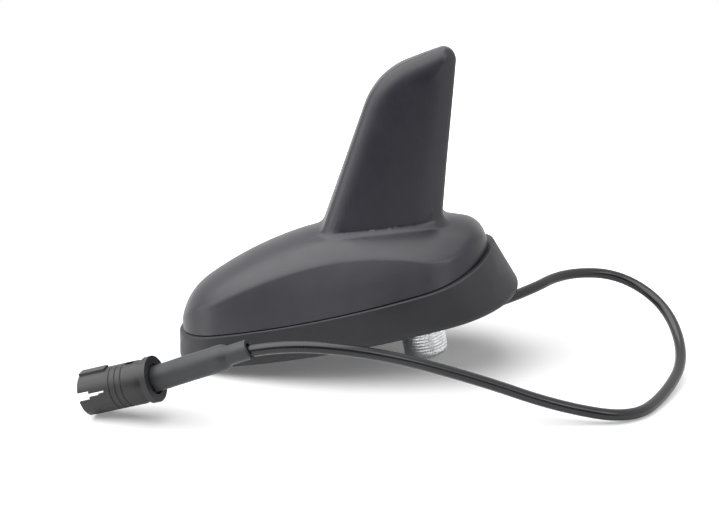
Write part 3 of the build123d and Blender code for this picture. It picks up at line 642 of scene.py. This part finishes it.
def stud_tree():
    """Stud as a helical thread on a shank, under a round collar and a hexagon head."""
    stud = NodeTree("roof_stud", STUD_SIZES)
    size = stud.sizes
    sheet = stud.node(
        "GeometryNodeMeshGrid", Size_X=1.0, Size_Y=1.0, Vertices_X=STUD_SIDES + 1, Vertices_Y=STUD_ROWS + 1
    )
    spot = stud.node("GeometryNodeInputPosition")
    axes = stud.node("ShaderNodeSeparateXYZ", Vector=spot.outputs["Position"])
    round_share = stud.math("ADD", axes.outputs["X"], 0.5)
    rise_share = stud.math("ADD", axes.outputs["Y"], 0.5)
    height = stud.math("MULTIPLY", stud.math("SUBTRACT", rise_share, 1.0), size["Drop"])
    turns = stud.math("DIVIDE", height, size["Thread pitch"])
    phase = stud.math("FRACT", stud.math("ADD", turns, round_share))
    groove = stud.math("ABSOLUTE", stud.math("MULTIPLY_ADD", phase, 2.0, -1.0))
    below = stud.math("DIVIDE", stud.math("SUBTRACT", size["Thread top"], height), size["Thread pitch"])
    above = stud.math("DIVIDE", stud.math("SUBTRACT", height, size["Thread end"]), size["Thread pitch"])
    reach = stud.math("MINIMUM", below, above)
    fade = stud.math("MAXIMUM", stud.math("MINIMUM", reach, 1.0), 0.0)
    cut = stud.math("MULTIPLY", stud.math("MULTIPLY", groove, fade), size["Thread depth"])
    threaded = stud.math("SUBTRACT", size["Radius"], cut)
    end_radius = stud.math("SUBTRACT", size["Radius"], size["Chamfer"])
    chamfer = stud.math("ADD", end_radius, stud.math("ADD", height, size["Drop"]))
    radius = stud.math("MINIMUM", threaded, chamfer)
    edge_share = 0.5 / STUD_ROWS
    from_end = stud.math("MINIMUM", rise_share, stud.math("SUBTRACT", 1.0, rise_share))
    wall = stud.math("GREATER_THAN", from_end, edge_share)
    closed = stud.math("MULTIPLY", radius, wall)
    angle = stud.math("MULTIPLY", round_share, 2 * math.pi)
    place = stud.node(
        "ShaderNodeCombineXYZ",
        X=stud.math("MULTIPLY", closed, stud.math("COSINE", angle)),
        Y=stud.math("MULTIPLY", closed, stud.math("SINE", angle)),
        Z=height,
    )
    rolled = stud.node(
        "GeometryNodeSetPosition", Geometry=sheet.outputs["Mesh"], Position=place.outputs["Vector"]
    )
    shank = stud.node(
        "GeometryNodeMergeByDistance", Geometry=rolled.outputs["Geometry"], Distance=MERGE_DISTANCE
    )
    collar = stud.node(
        "GeometryNodeMeshCylinder",
        Vertices=STUD_SIDES,
        Radius=size["Collar radius"],
        Depth=size["Collar height"],
    )
    collar_lift = stud.node("ShaderNodeCombineXYZ", Z=stud.math("MULTIPLY", size["Collar height"], 0.5))
    collar_up = stud.node(
        "GeometryNodeTransform", Geometry=collar.outputs["Mesh"], Translation=collar_lift.outputs["Vector"]
    )
    head = stud.node(
        "GeometryNodeMeshCylinder", Vertices=6, Radius=size["Head radius"], Depth=size["Head height"]
    )
    head_middle = stud.math("MULTIPLY_ADD", size["Head height"], 0.5, size["Collar height"])
    head_lift = stud.node("ShaderNodeCombineXYZ", Z=head_middle)
    head_up = stud.node(
        "GeometryNodeTransform", Geometry=head.outputs["Mesh"], Translation=head_lift.outputs["Vector"]
    )
    whole = stud.join(shank.outputs["Geometry"], collar_up.outputs["Geometry"], head_up.outputs["Geometry"])
    stud.finish(whole, zinc)
    return stud


def grown(name, shape, sizes):
    """Plain mesh of a node tree's result, with its sizes set first."""
    seed = link(bpy.data.objects.new(name + "_seed", bpy.data.meshes.new(name + "_seed")))
    modifier = seed.modifiers.new("shape", "NODES")
    modifier.node_group = shape.tree
    for size, value in sizes.items():
        modifier[shape.sockets[size].identifier] = value
    depsgraph = bpy.context.evaluated_depsgraph_get()
    mesh = bpy.data.meshes.new_from_object(seed.evaluated_get(depsgraph))
    mesh.name = name
    seed.modifiers.remove(modifier)
    bpy.data.objects.remove(seed)
    mesh.shade_smooth()
    mesh.set_sharp_from_angle(angle=CREASE_ANGLE)
    return link(bpy.data.objects.new(name, mesh))


dress(grown("roof_stud", stud_tree(), STUD_SIZES), zinc, "zinc", "threaded_stud")


def lead_curve():
    """The lead along its route, a smooth spline with the route's points as control points."""
    curve = bpy.data.curves.new("coaxial_lead", "CURVE")
    curve.dimensions = "3D"
    curve.resolution_u = CABLE_STEPS
    curve.bevel_depth = CABLE_R * MM
    curve.bevel_resolution = CABLE_BEVEL_STEPS
    curve.use_fill_caps = True
    ends = [PLUG_REAR + SHRINK_HEADING * reach for reach in (CABLE_LAST_BEND, FERRULE_LENGTH)]
    route = [Vector(point) for point in CABLE_ROUTE] + ends
    spline = curve.splines.new("NURBS")
    spline.points.add(len(route) - 1)
    for point, place in zip(spline.points, route):
        point.co = (*(place * MM), 1)
    spline.order_u = 3
    spline.use_endpoint_u = True
    return link(bpy.data.objects.new("coaxial_lead", curve))


lead = dress(lead_curve(), sheath, "sheath", "coax_cable")


def add_camera():
    """The photograph's camera, level with the table and looking down on it."""
    data = bpy.data.cameras.new("photo_camera")
    data.sensor_width = SENSOR_WIDTH
    data.lens = CAMERA_FOCAL_PIXELS / PHOTO_WIDTH * SENSOR_WIDTH
    camera = link(bpy.data.objects.new("photo_camera", data))
    table_up = Vector((math.sin(TABLE_TILT), 0, math.cos(TABLE_TILT)))
    right = Vector((math.cos(TABLE_TILT), 0, -math.sin(TABLE_TILT)))
    level = table_up.cross(right)
    back = table_up * math.sin(CAMERA_RISE) - level * math.cos(CAMERA_RISE)
    up = back.cross(right)
    turn = Matrix((right, up, back)).transposed().to_4x4()
    camera.matrix_world = Matrix.Translation(CAMERA_PLACE) @ turn
    scene.camera = camera


def table_material():
    """Matt white table that the camera sees as white, apart from the soft shadow round the aerial."""
    material = bpy.data.materials.new("white_table")
    material.use_nodes = True
    tree = material.node_tree
    nodes = tree.nodes
    nodes.clear()
    output = nodes.new("ShaderNodeOutputMaterial")
    matt = nodes.new("ShaderNodeBsdfDiffuse")
    glow = nodes.new("ShaderNodeEmission")
    both = nodes.new("ShaderNodeAddShader")
    rays = nodes.new("ShaderNodeLightPath")
    place = nodes.new("ShaderNodeTexCoord")
    away = nodes.new("ShaderNodeVectorMath")
    level = nodes.new("ShaderNodeMath")
    matt.inputs["Color"].default_value = (TABLE_WHITE, TABLE_WHITE, TABLE_WHITE, 1)
    away.operation = "LENGTH"
    level.operation = "MULTIPLY"
    tree.links.new(place.outputs["Object"], away.inputs[0])
    ramp = spread(
        tree, away.outputs["Value"], TABLE_GLOW_FROM, TABLE_GLOW_TO, TABLE_GLOW_NEAR, TABLE_GLOW_FAR
    )
    tree.links.new(rays.outputs["Is Camera Ray"], level.inputs[0])
    tree.links.new(ramp, level.inputs[1])
    tree.links.new(level.outputs["Value"], glow.inputs["Strength"])
    tree.links.new(matt.outputs["BSDF"], both.inputs[0])
    tree.links.new(glow.outputs["Emission"], both.inputs[1])
    tree.links.new(both.outputs["Shader"], output.inputs["Surface"])
    return material


def flat_sheet(name, corners, material):
    """A flat piece of the studio round the aerial."""
    mesh = bpy.data.meshes.new(name)
    mesh.from_pydata(corners, [], [(0, 1, 2, 3)])
    mesh.materials.append(material)
    sheet = link(bpy.data.objects.new(name, mesh))
    return sheet


def add_table():
    """The table under the aerial, which tilts instead of the aerial."""
    half = TABLE_SIZE / 2
    corners = [(-half, -half, 0), (half, -half, 0), (half, half, 0), (-half, half, 0)]
    table = flat_sheet("table", corners, table_material())
    up = Vector((math.sin(TABLE_TILT), 0, math.cos(TABLE_TILT)))
    table.rotation_euler = (0, TABLE_TILT, 0)
    table.location = Vector((TABLE_MIDDLE_X, 0, 0)) - up * TABLE_DROP


def add_flag():
    """Dark card that the near sides mirror, out of the camera's sight."""
    material = bpy.data.materials.new("dark_card")
    material.use_nodes = True
    shader = material.node_tree.nodes["Principled BSDF"]
    shader.inputs["Base Color"].default_value = (FLAG_GREY, FLAG_GREY, FLAG_GREY, 1)
    shader.inputs["Roughness"].default_value = 1
    wide = FLAG_HALF_WIDTH
    corners = [
        (wide, FLAG_Y, FLAG_LOW),
        (-wide, FLAG_Y, FLAG_LOW),
        (-wide, FLAG_Y, FLAG_HIGH),
        (wide, FLAG_Y, FLAG_HIGH),
    ]
    flag = flat_sheet("front_flag", corners, material)
    flag.visible_camera = False
    flag.visible_shadow = False


def add_world():
    """White to the camera, to mirrors and through glass, and a gentler fill for everything else."""
    world = bpy.data.worlds.new("studio")
    scene.world = world
    world.use_nodes = True
    tree = world.node_tree
    nodes = tree.nodes
    nodes.clear()
    output = nodes.new("ShaderNodeOutputWorld")
    seen = nodes.new("ShaderNodeBackground")
    fill = nodes.new("ShaderNodeBackground")
    choose = nodes.new("ShaderNodeMixShader")
    rays = nodes.new("ShaderNodeLightPath")
    share = rays.outputs["Is Camera Ray"]
    for kind in ("Is Glossy Ray", "Is Transmission Ray"):
        either = nodes.new("ShaderNodeMath")
        either.operation = "MAXIMUM"
        tree.links.new(share, either.inputs[0])
        tree.links.new(rays.outputs[kind], either.inputs[1])
        share = either.outputs["Value"]
    seen.inputs["Color"].default_value = (1, 1, 1, 1)
    fill.inputs["Color"].default_value = (1, 1, 1, 1)
    fill.inputs["Strength"].default_value = WORLD_FILL
    tree.links.new(share, choose.inputs["Fac"])
    tree.links.new(fill.outputs["Background"], choose.inputs[1])
    tree.links.new(seen.outputs["Background"], choose.inputs[2])
    tree.links.new(choose.outputs["Shader"], output.inputs["Surface"])


def add_softbox(name, place, aim, size, watts):
    """A soft lamp at a place, turned to its aim."""
    data = bpy.data.lights.new(name, "AREA")
    data.shape = "RECTANGLE"
    data.size = size[0]
    data.size_y = size[1]
    data.energy = watts
    lamp = link(bpy.data.objects.new(name, data))
    lamp.location = place
    lamp.rotation_euler = (Vector(aim) - Vector(place)).to_track_quat("-Z", "Y").to_euler()


add_camera()
add_table()
add_flag()
add_world()
for softbox in SOFTBOXES:
    add_softbox(*softbox)
